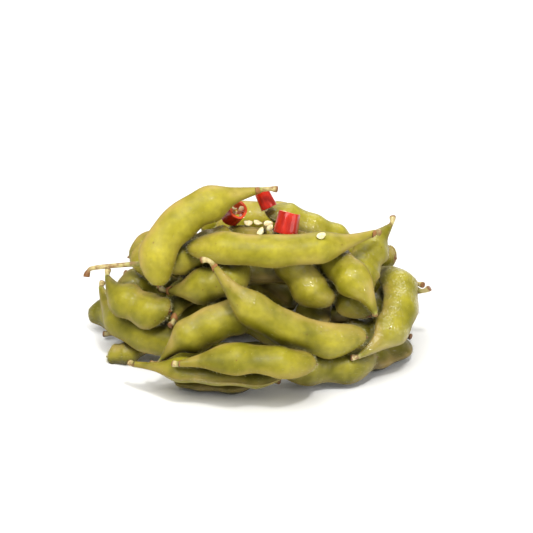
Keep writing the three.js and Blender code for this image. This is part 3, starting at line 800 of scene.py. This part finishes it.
def calyxMaterial(look):
    material, tree, shader = newMaterial("dried calyx")
    place = addNode(tree, "ShaderNodeTexCoord").outputs["Object"]
    fibre = addNode(tree, "ShaderNodeTexNoise", {}, {
        "Vector": place, "Scale": 1 / (look["fibreMm"] * mm), "Detail": 3})
    mixed = addNode(tree, "ShaderNodeMix", {"data_type": "RGBA"}, {
        mixFactor: fibre.outputs["Fac"], mixA: srgb(look["colour"]), mixB: srgb(look["light"])})
    setInputs(tree, shader, {"Base Color": mixed.outputs[mixResult], "Roughness": 0.7})
    return material


def calyxMesh(look):
    calyx = added(bpy.ops.mesh.primitive_cylinder_add, vertices=2 * look["lobes"], radius=look["radius"],
                  depth=look["long"], end_fill_type="NOTHING")
    for vertex in calyx.data.vertices:
        lobe = round(math.atan2(vertex.co.y, vertex.co.x) / math.pi * look["lobes"]) % 2
        if vertex.co.z > 0:
            vertex.co.z += look["lobeLong"] * lobe
            vertex.co.xy *= look["flare"] + look["lobeFlare"] * lobe
        else:
            vertex.co.xy *= look["neck"]
    skin = calyx.modifiers.new("skin", "SOLIDIFY")
    skin.thickness = look["thick"]
    skin.offset = 1
    smooth = calyx.modifiers.new("smooth", "SUBSURF")
    smooth.levels = smooth.render_levels = 1
    applyAll(calyx)
    bpy.ops.object.shade_smooth()
    calyx.data.materials.append(calyxMaterial(look))
    return calyx


def calyxScraps(look):
    calyx = calyxMesh(look)
    scraps = []
    random.seed(look["seed"])
    for rows in podLines.values():
        size = random.uniform(*look["sizes"])
        spin = Matrix.Rotation(random.uniform(0, math.pi), 4, "Z")
        if random.random() < look["rubbedOff"]:
            continue
        k = next(i for i, row in enumerate(rows) if row["place"] >= knotRing)
        along = (rows[k + look["rowsAhead"]]["centre"] - rows[k - look["rowsBehind"]]["centre"]).normalized()
        shift = Vector((len(scraps) * look["crumpleShift"], 0, 0))
        scrap = copyOf(calyx)
        for vertex in scrap.data.vertices:
            vertex.co *= 1 + look["crumple"] * noise.noise(vertex.co / look["crumpleLong"] + shift)
        placed = turnTo(along, rows[k]["width"], rows[k]["centre"])
        scrap.data.transform(placed @ spin @ Matrix.Scale(size, 4))
        for vertex in scrap.data.vertices:
            vertex.co.z = max(vertex.co.z, 0)
        scraps.append(scrap)
    bpy.data.objects.remove(calyx)
    finishPiece(joinAll(scraps), "calyx_scraps", "pod_skin")
    print(len(scraps), "calyxes drawn")


calyxScraps(calyxLook)


# Down on the pods: short pale hairs that lean towards the tip and soften the edges of the pods. Each is a
# spike on three corners
downLook = {
    "colour": "#BDB77C", "seed": 23, "perPod": 320, "corners": (0, 2.1, 4.2),
    "long": (0.5 * mm, 1.3 * mm), "radius": 0.026 * mm, "rootDeep": 0.03 * mm,
    "lean": (0.3, 1.1), "scatter": 0.3, "side": (0.31, 0.2, 0.93),
    # none under a pod, near the ground or on a stalk
    "bareBelow": -0.75, "bareUpTo": 0.4 * mm, "onBody": 0.99,
}


def downMaterial(look):
    material, tree, shader = newMaterial("pod down")
    setInputs(tree, shader, {"Base Color": srgb(look["colour"]), "Roughness": 0.6})
    return material


def downPiece(look):
    corners = [(math.cos(a), math.sin(a), 0) for a in look["corners"]]
    points = []
    faces = []
    random.seed(look["seed"])
    for name, piece in pods.items():
        rows = podLines[name]
        body = piece.data.attributes["body"].data
        onSkin = [v for v in piece.data.vertices if body[v.index].value > look["onBody"]
                  and v.normal.z > look["bareBelow"] and v.co.z > look["bareUpTo"]]
        ahead = (rows[-1]["centre"] - rows[len(rows) // 3]["centre"]).normalized()
        for vertex in random.sample(onSkin, min(look["perPod"], len(onSkin))):
            lean = vertex.normal + ahead * random.uniform(*look["lean"])
            lean += Vector([random.uniform(-look["scatter"], look["scatter"]) for _ in range(3)])
            lean.normalize()
            placed = turnTo(lean, Vector(look["side"]), vertex.co - vertex.normal * look["rootDeep"])
            first = len(points)
            points += [placed @ (Vector(c) * look["radius"]) for c in corners]
            points.append(placed @ Vector((0, 0, random.uniform(*look["long"]))))
            points[-1].z = max(points[-1].z, 0)
            faces += [(first, first + 1, first + 3), (first + 1, first + 2, first + 3),
                      (first + 2, first, first + 3), (first, first + 2, first + 1)]
    mesh = bpy.data.meshes.new("pod_down")
    mesh.from_pydata(points, [], faces)
    down = bpy.data.objects.new("pod_down", mesh)
    bpy.context.scene.collection.objects.link(down)
    mesh.materials.append(downMaterial(look))
    finishPiece(down, "pod_down", "pod_skin")


downPiece(downLook)
print("down drawn")


# A pale floor, matt, so that it holds soft shadows only, and soft lamps, as in a food studio
studio = {
    "floor": "#F4F3F0", "floorSize": 8, "walls": 0.32,
    "lamps": {
        "key": {"place": (-0.25, -0.3, 0.8), "size": 0.75, "power": 6.7},
        "glint": {"place": (0.1, -0.35, 0.8), "size": 0.1, "power": 3},
        "fill": {"place": (0.6, -0.55, 0.4), "size": 0.6, "power": 2.4},
        "back": {"place": (0.15, 0.65, 0.6), "size": 0.6, "power": 2.6},
    },
}


def addStudio(setup):
    floor = added(bpy.ops.mesh.primitive_plane_add, size=setup["floorSize"])
    floor.name = "studioFloor"
    material, tree, shader = newMaterial("matt painted floor")
    setInputs(tree, shader, {"Base Color": srgb(setup["floor"]), "Roughness": 0.6})
    floor.data.materials.append(material)
    for name, lamp in setup["lamps"].items():
        light = added(bpy.ops.object.light_add, type="AREA", location=lamp["place"])
        light.name = name + "Lamp"
        light.data.shape = "DISK"
        light.data.size = lamp["size"]
        light.data.energy = lamp["power"]
        light.rotation_euler = (-Vector(lamp["place"])).to_track_quat("-Z", "Y").to_euler()
    world = bpy.data.worlds.new("studioWalls")
    bpy.context.scene.world = world
    world.use_nodes = True
    setInputs(world.node_tree, world.node_tree.nodes["Background"], {
        "Color": (1, 1, 1, 1), "Strength": setup["walls"]})
    bpy.context.scene.view_settings.view_transform = "Standard"


addStudio(studio)
print("studio lit")
